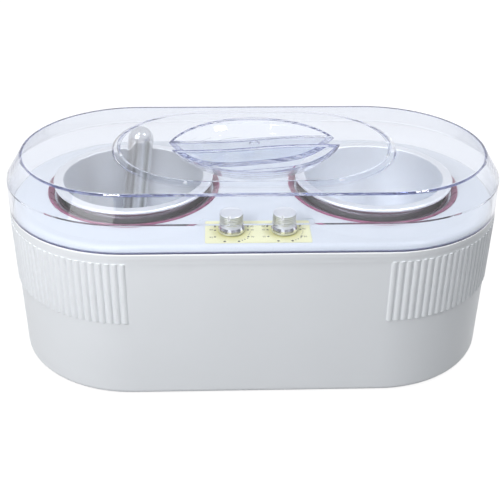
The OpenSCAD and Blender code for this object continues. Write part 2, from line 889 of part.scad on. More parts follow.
// Outline of the dish that makes a scoop, from its middle out and up to a given height.
// With a growth it is the outside of the skin round it, measured square to the dish.
function dish(growth, top) =
    let (
        rim_slope = scoop_flatness * scoop_depth / scoop_radius,
        points = [for (i = [0:dish_steps])
            let (
                part = sqrt(i / dish_steps),
                slope = atan(rim_slope * pow(part, scoop_flatness - 1)),
                rise = scoop_depth * (pow(part, scoop_flatness) - 1))
            [scoop_radius * part + growth * sin(slope), rise - growth * cos(slope)]],
        rim = points[dish_steps])
    concat(points, [[rim[0] + (top - rim[1]) / rim_slope, top], [0, top]]);

// One finger scoop, or with a growth the skin round it: a turned dish, cut upright along the grip bar
module scoop(growth, top) {
    deepest = panel_z - scoop_depth - growth - over;
    intersection() {
        translate([0, scoop_radius - scoop_reach, panel_z])
            turned(dish(growth, top - panel_z));
        translate([0, 0, deepest])
            linear_extrude(height = top - deepest)
                scoop_side(grip_half - growth);
    }
}

// Everything in front of one side of the grip bar, which bends in two arcs like a stretched S
module scoop_side(offset_y) {
    bend = grip_reach / sin(grip_turn);
    rise = bend * (1 - cos(grip_turn));
    wide = 2 * scoop_radius;
    intersection() {
        translate([0, -wide])
            square([wide, 2 * wide]);
        translate([grip_reach, rise - bend - offset_y])
            circle(bend, $fn = 720);
    }
    difference() {
        translate([-wide, -wide])
            square([wide, 2 * wide]);
        translate([-grip_reach, bend - rise - offset_y])
            circle(bend, $fn = 720);
    }
}

base_plate();
foot(-1, -1);  // foot_front_left
foot(1, -1);  // foot_front_right
foot(-1, 1);  // foot_back_left
foot(1, 1);  // foot_back_right
base_screws();
body_shell();
top_deck();
deck_screws();
well(-1);  // well_left
well(1);  // well_right
seal(-1);  // seal_left
seal(1);  // seal_right
heater_band(-1);  // heater_band_left
heater_band(1);  // heater_band_right
insulation(-1);  // insulation_left
insulation(1);  // insulation_right
thermal_fuse(-1);  // thermal_fuse_left
thermal_fuse(1);  // thermal_fuse_right
thermostat(-1);  // thermostat_left
thermostat(1);  // thermostat_right
sensor(-1);  // sensor_left
sensor(1);  // sensor_right
shaft_nut(-1);  // shaft_nut_left
shaft_nut(1);  // shaft_nut_right
shaft(-1);  // shaft_left
shaft(1);  // shaft_right
knob(-1);  // knob_left
knob(1);  // knob_right
dial_plate();
terminal_block();
cord_grommet();
pot(-1);  // pot_left
pot(1);  // pot_right
stirring_rod();
lid();
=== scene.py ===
"""Looks of the twin-pot wax warmer: finishes, dial printing, light and the photograph's camera."""

import json
import math

import bmesh
import bpy
import numpy as np
from mathutils import Matrix, Vector


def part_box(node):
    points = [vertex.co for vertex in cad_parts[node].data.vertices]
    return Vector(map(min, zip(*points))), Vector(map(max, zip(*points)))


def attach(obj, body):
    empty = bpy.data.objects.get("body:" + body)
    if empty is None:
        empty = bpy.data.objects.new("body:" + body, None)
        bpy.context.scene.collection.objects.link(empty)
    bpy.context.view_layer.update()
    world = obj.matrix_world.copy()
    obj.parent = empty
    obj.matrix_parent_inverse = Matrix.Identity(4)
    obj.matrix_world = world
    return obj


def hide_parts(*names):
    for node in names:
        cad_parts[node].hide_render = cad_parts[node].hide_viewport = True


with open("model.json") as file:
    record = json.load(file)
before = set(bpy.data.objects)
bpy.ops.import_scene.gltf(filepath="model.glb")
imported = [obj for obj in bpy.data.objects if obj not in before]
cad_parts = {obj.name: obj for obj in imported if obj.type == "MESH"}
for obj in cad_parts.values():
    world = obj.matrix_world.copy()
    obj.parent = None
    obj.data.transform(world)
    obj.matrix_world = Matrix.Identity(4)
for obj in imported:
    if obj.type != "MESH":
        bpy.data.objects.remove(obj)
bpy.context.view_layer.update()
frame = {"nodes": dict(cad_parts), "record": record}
nodes = frame["nodes"]

# Places and heights of the frame's own parts, in millimetres
MM = 0.001
SEAM = 123.0  # height of the seam between housing and lid
END_X = 91.5  # the pots stand this far from the middle
DIAL_X, DIAL_Y = 18.5, -69.5  # the knobs' places
POINTER = math.radians(-105)  # where the knobs' pointer notch stands
NOTCH_HALF, NOTCH_START, NOTCH_DEPTH = 1.1, 5.0, 2.5  # the notch across, from the axis, and down
PLATE_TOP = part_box("dial_plate")[1].z / MM
KNOB_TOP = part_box("knob_left")[1].z / MM
POT_SKIN = 53.4  # radius of a pot's outside, under its rim
RIM_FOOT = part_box("pot_left")[1].z / MM - 4.0  # under the pots' rolled rim
WELL_MOUTH, FLANGE = 58.2, 60.0  # radii where a well's bore ends and its bright flange starts
ROD_LEAN = Vector((0.130124, 0.078459, 0.988388))  # direction of the rod's axis
ROD_DOME = Vector((-88.2, 41.1, 149.8))  # centre of the rod's rounded top


def paint(red, green, blue):
    """A colour read off a paint chip, 0 to 255 each, as the linear values that a shader takes."""
    linear = []
    for c in (red / 255, green / 255, blue / 255):
        linear.append(c / 12.92 if c <= 0.04 else ((c + 0.055) / 1.055) ** 2.4)
    return (*linear, 1.0)


class Finish:
    """A material under construction: one node tree with short calls for the nodes it is made of."""

    def __init__(self, name):
        self.mat = bpy.data.materials.new(name)
        self.mat.use_nodes = True
        self.tree = self.mat.node_tree
        self.tree.nodes.clear()
        self.out = self.tree.nodes.new("ShaderNodeOutputMaterial")
        self.shader = self.node("ShaderNodeBsdfPrincipled")
        self.link(self.shader.outputs[0], self.out.inputs["Surface"])
        self.metres = None
        self.split = None

    def node(self, kind, **settings):
        """A new node with its settings."""
        made = self.tree.nodes.new(kind)
        for key, value in settings.items():
            setattr(made, key, value)
        return made

    def link(self, source, target):
        self.tree.links.new(source, target)

    def feed(self, socket, value):
        """Links a value that comes from a node, or writes a plain one on the socket."""
        if hasattr(value, "node"):
            self.link(value, socket)
        else:
            socket.default_value = value

    def set(self, **values):
        """Sets the shader's own sockets; an underscore in a name stands for a space."""
        for key, value in values.items():
            self.feed(self.shader.inputs[key.replace("_", " ")], value)
        return self

    def place(self):
        """Object coordinates, which are the object's own metres."""
        if self.metres is None:
            self.metres = self.node("ShaderNodeTexCoord").outputs["Object"]
        return self.metres

    def xyz(self):
        """The three coordinates one by one, in metres."""
        if self.split is None:
            parts = self.node("ShaderNodeSeparateXYZ")
            self.link(self.place(), parts.inputs[0])
            self.split = parts.outputs
        return self.split

    def math(self, what, a, b=0.0, c=0.0, clamp=False):
        """One sum on numbers or on what other nodes give."""
        made = self.node("ShaderNodeMath", operation=what, use_clamp=clamp)
        for socket, value in zip(made.inputs, (a, b, c)):
            self.feed(socket, value)
        return made.outputs[0]

    def along(self, direction, origin):
        """How far a point lies from origin along a direction, in millimetres."""
        offset = self.node("ShaderNodeVectorMath", operation="SUBTRACT")
        self.link(self.place(), offset.inputs[0])
        offset.inputs[1].default_value = Vector(origin) * MM
        made = self.node("ShaderNodeVectorMath", operation="DOT_PRODUCT")
        self.link(offset.outputs[0], made.inputs[0])
        made.inputs[1].default_value = Vector(direction) / MM
        return made.outputs["Value"]

    def span(self, value, low, high):
        """0 at low and 1 at high, held beyond them."""
        made = self.node("ShaderNodeMapRange", clamp=True)
        for socket, number in zip(made.inputs, (value, low, high, 0.0, 1.0)):
            self.feed(socket, number)
        return made.outputs[0]

    def noise(self, scale, detail=3.0, rough=0.5, stretch=None):
        """Noise whose grains are 1/scale metres; stretch scales the axes for drawn metal."""
        made = self.node("ShaderNodeTexNoise")
        made.inputs["Scale"].default_value = scale
        made.inputs["Detail"].default_value = detail
        made.inputs["Roughness"].default_value = rough
        where = self.place()
        if stretch:
            turn = self.node("ShaderNodeMapping")
            turn.inputs["Scale"].default_value = stretch
            self.link(where, turn.inputs["Vector"])
            where = turn.outputs[0]
        self.link(where, made.inputs["Vector"])
        return made.outputs["Fac"]

    def line_noise(self, where, scale, detail=4.0):
        """Noise along one number only, such as a radius in metres."""
        spread = self.node("ShaderNodeCombineXYZ")
        self.link(where, spread.inputs[0])
        made = self.node("ShaderNodeTexNoise")
        made.inputs["Scale"].default_value = scale
        made.inputs["Detail"].default_value = detail
        self.link(spread.outputs[0], made.inputs["Vector"])
        return made.outputs["Fac"]

    def ramp(self, fac, stops):
        """Colours or greys at given places between 0 and 1."""
        made = self.node("ShaderNodeValToRGB")
        band = made.color_ramp
        while len(band.elements) < len(stops):
            band.elements.new(0.5)
        for element, (at, colour) in zip(band.elements, stops):
            element.position = at
            element.color = colour if isinstance(colour, tuple) else (colour, colour, colour, 1.0)
        self.link(fac, made.inputs[0])
        return made.outputs[0]

    def blend(self, fac, a, b, how="MIX"):
        """Colour a where fac is 0 and b where it is 1."""
        made = self.node("ShaderNodeMix", data_type="RGBA", blend_type=how)
        for socket, value in zip((made.inputs[0], made.inputs[6], made.inputs[7]), (fac, a, b)):
            self.feed(socket, value)
        return made.outputs[2]

    def bump(self, height, depth, strength=1.0):
        """Raises the surface by height times depth metres, on top of any bump set before."""
        made = self.node("ShaderNodeBump")
        made.inputs["Strength"].default_value = strength
        made.inputs["Distance"].default_value = depth
        self.link(height, made.inputs["Height"])
        normal = self.shader.inputs["Normal"]
        if normal.is_linked:
            self.link(normal.links[0].from_socket, made.inputs["Normal"])
        self.link(made.outputs[0], normal)
        return self

    def round_about(self, x, y):
        """Distance from an upright axis through x, y, given and returned in millimetres."""
        dx = self.math("SUBTRACT", self.math("DIVIDE", self.xyz()[0], MM), x)
        dy = self.math("SUBTRACT", self.math("DIVIDE", self.xyz()[1], MM), y)
        squares = self.math("ADD", self.math("MULTIPLY", dx, dx), self.math("MULTIPLY", dy, dy))
        return self.math("SQRT", squares)

    def height(self):
        """Height above the floor in millimetres."""
        return self.math("DIVIDE", self.xyz()[2], MM)

    def turn(self, sideways, backwards):
        """Angle of a point as a share of one turn: 0.25 in front, 0.5 on the right, 0.75 behind."""
        angle = self.math("ARCTAN2", backwards, sideways)
        return self.math("ADD", self.math("DIVIDE", angle, 2 * math.pi), 0.5)

    def edges(self, radius):
        """0 on open faces, rising on sharp edges by how far a rounded normal leaves the true one."""
        bevel = self.node("ShaderNodeBevel", samples=6)
        bevel.inputs["Radius"].default_value = radius
        plain = self.node("ShaderNodeNewGeometry")
        dot = self.node("ShaderNodeVectorMath", operation="DOT_PRODUCT")
        self.link(bevel.outputs[0], dot.inputs[0])
        self.link(plain.outputs["Normal"], dot.inputs[1])
        return self.math("SUBTRACT", 1.0, dot.outputs["Value"], clamp=True)


def darker(colour, share):
    """The same colour with a share of its light taken away."""
    return (*(c * (1 - share) for c in colour[:3]), 1.0)


def moulded(name, colour, roughness, grain, tone):
    """Moulded plastic: a faint cloudy tone, a fine eroded skin and slightly uneven gloss."""
    f = Finish(name)
    cloud = f.ramp(f.noise(14.0, 4.0), [(0.35, 0.0), (0.65, 1.0)])
    f.set(Base_Color=f.blend(cloud, darker(colour, tone), colour))
    skin = f.noise(2600.0, 2.0, 0.6)
    f.set(Roughness=f.ramp(skin, [(0.3, roughness * 0.88), (0.7, min(1.0, roughness * 1.12))]))
    f.bump(skin, grain)
    return f


def housing_white():
    """Satin white ABS with the faint flow marks of a large moulding, and a painted highlight along the rim
    under the seam.
    """
    f = moulded("housing_white", paint(239, 242, 246), 0.4, 0.000012, 0.02)
    body = f.shader.inputs["Base Color"].links[0].from_socket
    # Painted highlight: a thin band along the top edge, just under the seam, is painted lighter.
    rim = f.span(f.height(), SEAM - 1.1, SEAM - 0.9)
    f.set(Base_Color=f.blend(rim, body, paint(250, 251, 253)))
    f.bump(f.noise(9.0, 2.0), 0.0004, 0.25)
    return f.mat


def deck_gloss():
    """High-gloss white plastic with the slight waviness of a polished mould."""
    f = moulded("deck_gloss", paint(221, 227, 236), 0.15, 0.000003, 0.015)
    f.bump(f.noise(45.0, 2.0), 0.0001)
    f.set(Coat_Weight=0.25, Coat_Roughness=0.05)
    return f.mat


def drawn_pot(name, centre_x):
    """Drawn aluminium: satin inside and over the rolled rim, with faint rings, and polished outside."""
    colour = paint(249, 251, 254)
    satin = 0.34
    polished = 0.1
    f = Finish(name)
    radius = f.round_about(centre_x, 0.0)
    rings = f.line_noise(radius, 0.9, 5.0)
    soft = f.noise(30.0, 3.0)
    shade = f.math("ADD", f.math("MULTIPLY", rings, 0.35), f.math("MULTIPLY", soft, 0.65))
    mixed = f.ramp(shade, [(0.35, 0.0), (0.65, 1.0)])
    below_rim = f.span(f.height(), RIM_FOOT, RIM_FOOT - 0.4)
    outside = f.math("MULTIPLY", f.span(radius, POT_SKIN - 0.6, POT_SKIN), below_rim)
    tone = f.blend(mixed, darker(colour, 0.06), colour)
    f.set(Base_Color=f.blend(outside, tone, paint(214, 217, 222)))
    f.set(Metallic=f.math("MULTIPLY_ADD", outside, -0.25, 1.0))
    uneven = f.math("MULTIPLY", f.math("SUBTRACT", shade, 0.5), 0.12)
    gloss = f.math("ADD", uneven, f.math("MULTIPLY_ADD", outside, polished - satin, satin))
    f.set(Roughness=gloss)
    f.bump(rings, 0.00001, 0.4)
    return f.mat


def pressed_well(name, centre_x):
    """Pressed aluminium: a bright flange, painted shade at the mouth in the gap under the pot's rim, and a
    dull grey deep wall.
    """
    f = Finish(name)
    radius = f.round_about(centre_x, 0.0)
    grain = f.noise(260.0, 4.0)
    bright = f.ramp(grain, [(0.3, paint(190, 194, 202)), (0.7, paint(212, 216, 224))])
    # Painted shade: the dark purple tone of the narrow gap at the well's mouth.
    dark = f.ramp(grain, [(0.3, paint(92, 74, 86)), (0.7, paint(116, 94, 108))])
    flange = f.span(radius, WELL_MOUTH, FLANGE)
    shade_none_below, shade_full_above = SEAM - 14.0, SEAM - 4.0
    painted_gap_shade = f.span(f.height(), shade_none_below, shade_full_above)
    deep = f.blend(painted_gap_shade, paint(176, 179, 185), dark)
    f.set(Base_Color=f.blend(flange, deep, bright))
    f.set(Metallic=f.math("MULTIPLY_ADD", flange, -0.45, 1.0))
    shine = f.ramp(f.line_noise(radius, 1.4), [(0.3, 0.12), (0.7, 0.2)])
    f.set(Roughness=f.math("MAXIMUM", shine, f.span(radius, WELL_MOUTH, WELL_MOUTH - 1.2)))
    f.bump(grain, 0.00001)
    return f.mat


def polished_rod():
    """Chromed steel: draw marks, and bands of painted light and dark reflection set by the angle about it,
    run along the rod.
    """
    f = Finish("rod_polished")
    sideways = Vector((ROD_LEAN.z, 0.0, -ROD_LEAN.x)).normalized()
    backwards = ROD_LEAN.cross(sideways)
    around = f.turn(f.along(sideways, ROD_DOME), f.along(backwards, ROD_DOME))
    marks = f.noise(60.0, 5.0, 0.6, stretch=(30.0, 30.0, 1.0))
    wander = f.math("MULTIPLY_ADD", f.math("SUBTRACT", f.noise(18.0, 2.0), 0.5), 0.02, around)
    # Painted reflections: light and dark bands by the angle about the rod stand in for the room mirrored in
    # the chrome.
    painted_reflections = f.ramp(wander, [
        (0.00, paint(226, 226, 228)), (0.07, paint(205, 205, 206)), (0.12, paint(190, 186, 184)),
        (0.17, paint(222, 220, 219)), (0.205, paint(150, 148, 147)), (0.235, paint(226, 225, 224)),
        (0.30, paint(236, 236, 238)), (0.335, paint(196, 198, 194)), (0.36, paint(146, 149, 144)),
        (0.40, paint(230, 231, 232)), (0.47, paint(208, 210, 211)), (0.55, paint(232, 232, 234)),
        (0.63, paint(170, 170, 171)), (0.70, paint(234, 234, 236)), (0.78, paint(222, 222, 224)),
        (0.85, paint(176, 176, 177)), (0.93, paint(232, 232, 234)), (1.00, paint(226, 226, 228))])
    body = f.span(f.along(ROD_LEAN, ROD_DOME), 5.0, -1.0)
    painted_reflections = f.blend(body, paint(228, 229, 231), painted_reflections)
    fine = f.ramp(marks, [(0.3, paint(232, 232, 233)), (0.7, paint(255, 255, 255))])
    f.set(Base_Color=f.blend(1.0, painted_reflections, fine, "MULTIPLY"), Metallic=1.0)
    f.set(Roughness=f.ramp(marks, [(0.3, 0.07), (0.7, 0.13)]))
    f.bump(marks, 0.000006)
    return f.mat


def turned_knob(name, centre_x):
    """Turned aluminium: rings cut round the grip with painted shade in their grooves, a satin flare, a foot
    with painted bright and dark facet reflections, a white-filled pointer notch, and fine turning marks on
    the dished top, which is painted lighter than the side."""
    f = Finish(name)
    axis = (centre_x, DIAL_Y, 0)
    ring_pitch = 1.32
    foot_low, foot_high = 2.4, 5.1  # above the plate, as the next two
    grip_low, grip_high = 7.4, 13.3
    high = f.math("SUBTRACT", f.height(), PLATE_TOP)
    cut = f.math("SINE", f.math("MULTIPLY", high, 2 * math.pi / ring_pitch))
    past_low = f.span(high, grip_low - 0.4, grip_low)
    grip = f.math("MULTIPLY", past_low, f.span(high, grip_high + 0.3, grip_high))
    swirl = f.line_noise(f.round_about(centre_x, DIAL_Y), 3.0)
    groove = f.math("MULTIPLY_ADD", cut, 0.5, 0.5)
    # Painted shade: the grooves between the cut rings are painted darker than their crests.
    painted_groove_shade = f.ramp(groove, [(0.15, paint(166, 168, 168)), (0.7, paint(222, 224, 225))])
    satin = f.ramp(swirl, [(0.3, paint(208, 209, 210)), (0.7, paint(228, 230, 232))])
    colour = f.blend(grip, satin, painted_groove_shade)
    top = f.span(high, grip_high, grip_high + 0.3)
    # Painted light: the top is painted lighter than the side, as where it faces the lamps.
    bright = f.ramp(swirl, [(0.3, paint(236, 238, 242)), (0.7, paint(249, 250, 253))])
    colour = f.blend(top, colour, bright)
    sideways = f.along((1, 0, 0), axis)
    backwards = f.along((0, 1, 0), axis)
    # Painted reflections: six bright and dark facets set by the angle round the foot.
    facet_count = 6.0
    around = f.math("FRACT", f.math("MULTIPLY", f.turn(sideways, backwards), facet_count))
    dark = paint(120, 121, 124)
    painted_glint = paint(252, 252, 253)
    painted_facet_reflections = f.ramp(around, [
        (0.0, dark), (0.16, paint(128, 129, 132)), (0.24, painted_glint), (0.42, painted_glint),
        (0.52, paint(150, 150, 156)), (0.8, paint(188, 188, 192)), (1.0, dark)])
    past_foot_low = f.span(high, foot_low - 0.3, foot_low)
    foot = f.math("MULTIPLY", past_foot_low, f.span(high, foot_high + 0.3, foot_high))
    colour = f.blend(foot, colour, painted_facet_reflections)
    outwards = (math.cos(POINTER), math.sin(POINTER), 0)
    across = f.math("ABSOLUTE", f.along((-outwards[1], outwards[0], 0), axis))
    inside_cut = f.span(across, NOTCH_HALF, NOTCH_HALF - 0.1)
    past_start = f.span(f.along(outwards, axis), NOTCH_START, NOTCH_START + 0.1)
    notch_floor = KNOB_TOP - PLATE_TOP - NOTCH_DEPTH
    notch = f.math("MULTIPLY", inside_cut, past_start)
    notch = f.math("MULTIPLY", notch, f.span(high, notch_floor, notch_floor + 0.1))
    colour = f.blend(notch, colour, paint(252, 252, 252))
    f.set(Base_Color=colour, Metallic=f.math("SUBTRACT", 1.0, notch))
    rough = f.math("MULTIPLY_ADD", foot, -0.2, f.ramp(swirl, [(0.3, 0.26), (0.7, 0.34)]))
    f.set(Roughness=rough)
    f.bump(f.math("MULTIPLY", cut, grip), 0.00014, 0.8)
    f.bump(swirl, 0.00003, 0.4)
    return f.mat


def silicone_seal():
    """Soft magenta silicone in two tones mixed by noise."""
    f = Finish("seal_magenta")
    cloud = f.noise(120.0, 4.0)
    f.set(Base_Color=f.ramp(cloud, [(0.3, paint(134, 64, 100)), (0.7, paint(162, 90, 126))]))
    f.set(Roughness=f.ramp(cloud, [(0.3, 0.24), (0.7, 0.34)]), Sheen_Weight=0.1)
    f.bump(f.noise(900.0, 2.0), 0.00002)
    return f.mat


def zinc_screw():
    """Zinc plate: bright grey crystals, a little dull."""
    f = Finish("screw_steel")
    grain = f.noise(1800.0, 4.0)
    f.set(Base_Color=f.ramp(grain, [(0.3, paint(176, 178, 182)), (0.7, paint(206, 208, 212))]))
    f.set(Roughness=f.ramp(grain, [(0.3, 0.3), (0.7, 0.45)]), Metallic=1.0)
    return f.mat


def inner_part(name, low, high, roughness, scale, metal=1.0, depth=0.00002):
    """Plain inner parts: two tones of one colour mixed by noise, with the matching bump."""
    f = Finish(name)
    grain = f.noise(scale, 4.0, 0.6)
    f.set(Base_Color=f.ramp(grain, [(0.3, low), (0.7, high)]), Metallic=metal)
    f.set(Roughness=f.ramp(grain, [(0.3, roughness * 0.85), (0.7, roughness * 1.15)]))
    f.bump(grain, depth)
    return f.mat


def woven_sleeve():
    """Woven glass fibre: two crossed sine waves, one by height and one along X and Y together."""
    f = Finish("glass_fibre")
    pitch = 2 * math.pi / 1.6
    up = f.math("SINE", f.math("MULTIPLY", f.height(), pitch))
    level = f.math("DIVIDE", f.math("ADD", f.xyz()[0], f.xyz()[1]), MM)
    across = f.math("SINE", f.math("MULTIPLY", level, pitch))
    weave = f.math("MULTIPLY", up, across)
    tone = f.math("MULTIPLY_ADD", weave, 0.3, 0.5)
    f.set(Base_Color=f.ramp(tone, [(0.2, paint(190, 184, 160)), (0.8, paint(226, 221, 200))]), Roughness=0.85)
    f.bump(weave, 0.0002)
    return f.mat


def printed_plate():
    """Printed film on the dial plate: pale yellow under a clear gloss, with painted shade round the knobs,
    darker and deeper in tone.
    """
    f = Finish("dial_yellow")
    # Painted shade: darker, deeper yellow within a few millimetres of each knob's foot.
    near = f.math("MINIMUM", f.round_about(-DIAL_X, DIAL_Y), f.round_about(DIAL_X, DIAL_Y))
    tone = f.math("MULTIPLY_ADD", f.noise(300.0, 3.0), 1.2, near)
    tone = f.span(tone, 10.0, 16.5)
    f.set(Base_Color=f.blend(tone, paint(212, 208, 138), paint(241, 240, 196)))
    f.bump(f.noise(1500.0, 2.0), 0.00001)
    f.set(Roughness=0.35, Coat_Weight=0.5, Coat_Roughness=0.08)
    return f.mat


def dial_ink(name, low, high):
    """Screen-printed ink, thinner in specks."""
    f = Finish(name)
    wear = f.noise(2500.0, 3.0)
    f.set(Base_Color=f.ramp(wear, [(0.3, low), (0.7, high)]), Roughness=0.5)
    f.bump(wear, 0.000005)
    return f.mat


def clear_lid():
    """Clear moulded styrene that bends what is seen through it and absorbs a little navy in its wall. Its
    sharp edges are dark navy, partly from that absorption and partly painted shade; it is also painted darker
    where seen at a glancing angle and along its foot at the seam. Rays from lamps and from matt surfaces pass
    it straight, so that what stands under the lid is lit."""
    f = Finish("lid_clear")
    glance = f.node("ShaderNodeLayerWeight")
    glance.inputs["Blend"].default_value = 0.5
    facing = f.span(glance.outputs["Facing"], 0.95, 0.45)
    # Painted shade: a dark navy line along the sharp edges, which also lets less light through.
    sharp = f.ramp(f.edges(radius=0.0009), [(0.006, 0.0), (0.1, 1.0)])
    painted_edge_line = f.math("MULTIPLY", sharp, facing)
    # Painted shade: the lid is painted darker where it is seen at a glancing angle.
    painted_grazing_shade = f.span(glance.outputs["Facing"], 0.55, 0.95)
    clear = f.blend(painted_grazing_shade, paint(246, 248, 252), paint(180, 183, 194))
    clear = f.blend(painted_edge_line, clear, paint(66, 70, 150))
    # Painted shade: the lid's lowest millimetre is painted dark along the seam.
    foot = f.span(f.height(), SEAM + 1.4, SEAM + 1.1)
    f.set(Base_Color=f.blend(foot, clear, paint(92, 94, 124)))
    f.set(Transmission_Weight=f.math("MULTIPLY_ADD", painted_edge_line, -0.6, 1.0))
    f.set(Roughness=0.015, IOR=1.5)
    f.bump(f.noise(60.0, 2.0), 0.00003)
    path = f.node("ShaderNodeLightPath")
    straight = f.math("MAXIMUM", path.outputs["Is Shadow Ray"], path.outputs["Is Diffuse Ray"])
    open_air = f.node("ShaderNodeBsdfTransparent")
    mix = f.node("ShaderNodeMixShader")
    f.link(straight, mix.inputs[0])
    f.link(f.shader.outputs[0], mix.inputs[1])
    f.link(open_air.outputs[0], mix.inputs[2])
    f.link(mix.outputs[0], f.out.inputs["Surface"])
    wall = f.node("ShaderNodeVolumeAbsorption")
    wall.inputs["Color"].default_value = (0.2, 0.28, 0.62, 1.0)
    wall.inputs["Density"].default_value = 8.0
    f.link(wall.outputs[0], f.out.inputs["Volume"])
    return f.mat


FINISHES = {
    "housing_white": housing_white(),
    "deck_gloss": deck_gloss(),
    "base_white": moulded("base_white", paint(205, 207, 210), 0.55, 0.00004, 0.04).mat,
    "black_rubber": moulded("black_rubber", paint(44, 45, 47), 0.7, 0.00006, 0.2).mat,
    "screw_steel": zinc_screw(),
    "seal_magenta": silicone_seal(),
    "heater_mica": inner_part("heater_mica", paint(150, 132, 104), paint(196, 182, 156), 0.6, 260.0,
                              metal=0.0, depth=0.0001),
    "glass_fibre": woven_sleeve(),
    "fuse_ceramic": inner_part("fuse_ceramic", paint(214, 208, 196), paint(232, 228, 218), 0.7, 700.0,
                               metal=0.0),
    "thermostat_case": inner_part("thermostat_case", paint(70, 74, 80), paint(104, 108, 116), 0.45, 900.0,
                                  metal=0.0),
    "sensor_copper": inner_part("sensor_copper", paint(168, 98, 62), paint(214, 142, 104), 0.3, 1200.0),
    "nut_brass": inner_part("nut_brass", paint(176, 148, 82), paint(214, 188, 122), 0.32, 1200.0),
    "shaft_steel": inner_part("shaft_steel", paint(168, 170, 173), paint(206, 208, 211), 0.28, 1600.0),
    "dial_yellow": printed_plate(),
    "terminal_ivory": moulded("terminal_ivory", paint(226, 222, 206), 0.5, 0.00003, 0.05).mat,
    "rod_polished": polished_rod(),
    "lid_clear": clear_lid(),
    "well_left": pressed_well("well_aluminium_left", -END_X),
    "well_right": pressed_well("well_aluminium_right", END_X),
    "pot_left": drawn_pot("pot_aluminium_left", -END_X),
    "pot_right": drawn_pot("pot_aluminium_right", END_X),
    "knob_left": turned_knob("knob_metal_left", -DIAL_X),
    "knob_right": turned_knob("knob_metal_right", DIAL_X),
}
SLOT_OF = {row["node"]: row["material_slot"] for row in frame["record"]["subparts"]}


def dress(obj, material):
    """Gives every face of obj this material."""
    obj.data.materials.clear()
    obj.data.materials.append(material)


for node_name, obj in nodes.items():
    dress(obj, FINISHES.get(node_name) or FINISHES[SLOT_OF[node_name]])


def piece(name, points, faces, body, slot_name, material):
    """A new object from points in millimetres and faces, riding on a body."""
    mesh = bpy.data.meshes.new(name)
    mesh.from_pydata((np.asarray(points, float) * MM).tolist(), [], faces)
    mesh.update()
    obj = bpy.data.objects.new(name, mesh)
    bpy.context.scene.collection.objects.link(obj)
    dress(obj, material)
    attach(obj, body)
    return obj


def ring_of(profile, centre_x, steps=144):
    """A closed profile (radius, height) carried round an upright axis: points radius * (cos, sin), height
    on a grid of steps by profile points, with faces that run round in both directions."""
    turn = np.linspace(0, 2 * np.pi, steps, endpoint=False)[:, None]
    radius, height = np.asarray(profile, float).T
    grid = np.stack([centre_x + radius * np.cos(turn), radius * np.sin(turn), height + 0 * turn], axis=2)
    n = len(radius)
    i, j = np.meshgrid(np.arange(steps), np.arange(n), indexing="ij")
    i, j = i.ravel(), j.ravel()
    on, up = (i + 1) % steps, (j + 1) % n
    faces = np.c_[i * n + j, on * n + j, on * n + up, i * n + up]
    return grid.reshape(-1, 3), faces.tolist()


def seal_lip(side, name, node):
    """The seal's soft lip: it caps the well's flange, stands up at the deck's edge in a thin round bead and
    falls inwards from it as a hollow funnel, radius and height both following a quarter turn."""
    low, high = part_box(node)
    outer = (high.x - low.x) / 2 / MM
    seat, top = low.z / MM, high.z / MM
    bead = 0.55  # radius of the round bead
    reach = 4.7  # from the outside in to the funnel's edge
    cap = 2.4  # from the outside in to the flange's edge
    sheet = 1.2  # the flange under the lip, with its play
    inner = outer - reach
    a = np.linspace(0, np.pi, 9)
    crown = np.c_[outer - bead + bead * np.cos(a), top - bead + bead * np.sin(a)]
    fall = 1 - np.sin(np.linspace(0.12, np.pi / 2, 12))
    foot = seat + sheet + 0.1
    funnel = np.c_[inner + (outer - 2 * bead - inner) * fall, foot + (top - bead - foot) * fall ** 0.6]
    outside = [[outer - cap, seat], [outer, seat], [outer, top - bead - 0.6]]
    profile = np.vstack([outside, crown, funnel, [[outer - cap, seat + sheet]]])
    points, faces = ring_of(profile, side * END_X)
    lip = piece(name, points, faces, "housing", "seal_magenta", FINISHES["seal_magenta"])
    lip.data.polygons.foreach_set("use_smooth", np.ones(len(faces), bool))
    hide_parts(node)


def pads(outline, places, bottom, height):
    """Flat raised pads: the outline (n, 2) times a pad's scale, moved to its x, y, as a closed prism
    from bottom to bottom + height. Returns the points and faces of all pads together."""
    places = np.asarray(places, float)
    flat = np.asarray(outline, float) * places[:, None, 2:] + places[:, None, :2]
    lower = np.dstack([flat, np.full(flat.shape[:2], bottom)])
    upper = np.dstack([flat, np.full(flat.shape[:2], bottom + height)])
    n = len(outline)
    i = np.arange(n)
    j = (i + 1) % n
    walls = np.c_[i, j, n + j, n + i]
    faces = []
    for at in range(0, 2 * n * len(places), 2 * n):
        faces += [(at + i[::-1]).tolist(), (at + n + i).tolist(), *(at + walls).tolist()]
    return np.hstack([lower, upper]).reshape(-1, 3), faces


INK, SUNK = 0.03, 0.01  # half the thickness of the ink, and how far a figure's ink sinks into the plate


def figure(words, centre_x, centre_y, size):
    """Printed figures: the outline of the type, raised by a film of ink, as points and faces."""
    curve = bpy.data.curves.new("type", "FONT")
    curve.body = words
    curve.align_x = "CENTER"
    curve.align_y = "CENTER"
    curve.extrude = INK / size
    curve.resolution_u = 3
    holder = bpy.data.objects.new("type", curve)
    bpy.context.scene.collection.objects.link(holder)
    bpy.context.view_layer.update()
    flat = bpy.data.meshes.new_from_object(holder.evaluated_get(bpy.context.evaluated_depsgraph_get()))
    welded = bmesh.new()
    welded.from_mesh(flat)
    bmesh.ops.remove_doubles(welded, verts=welded.verts, dist=0.0005)
    bmesh.ops.recalc_face_normals(welded, faces=welded.faces)
    points = np.array([v.co[:] for v in welded.verts]) * size + [centre_x, centre_y, PLATE_TOP + INK - SUNK]
    faces = [[v.index for v in face.verts] for face in welded.faces]
    welded.free()
    bpy.data.objects.remove(holder)
    bpy.data.curves.remove(curve)
    bpy.data.meshes.remove(flat)
    return points, faces


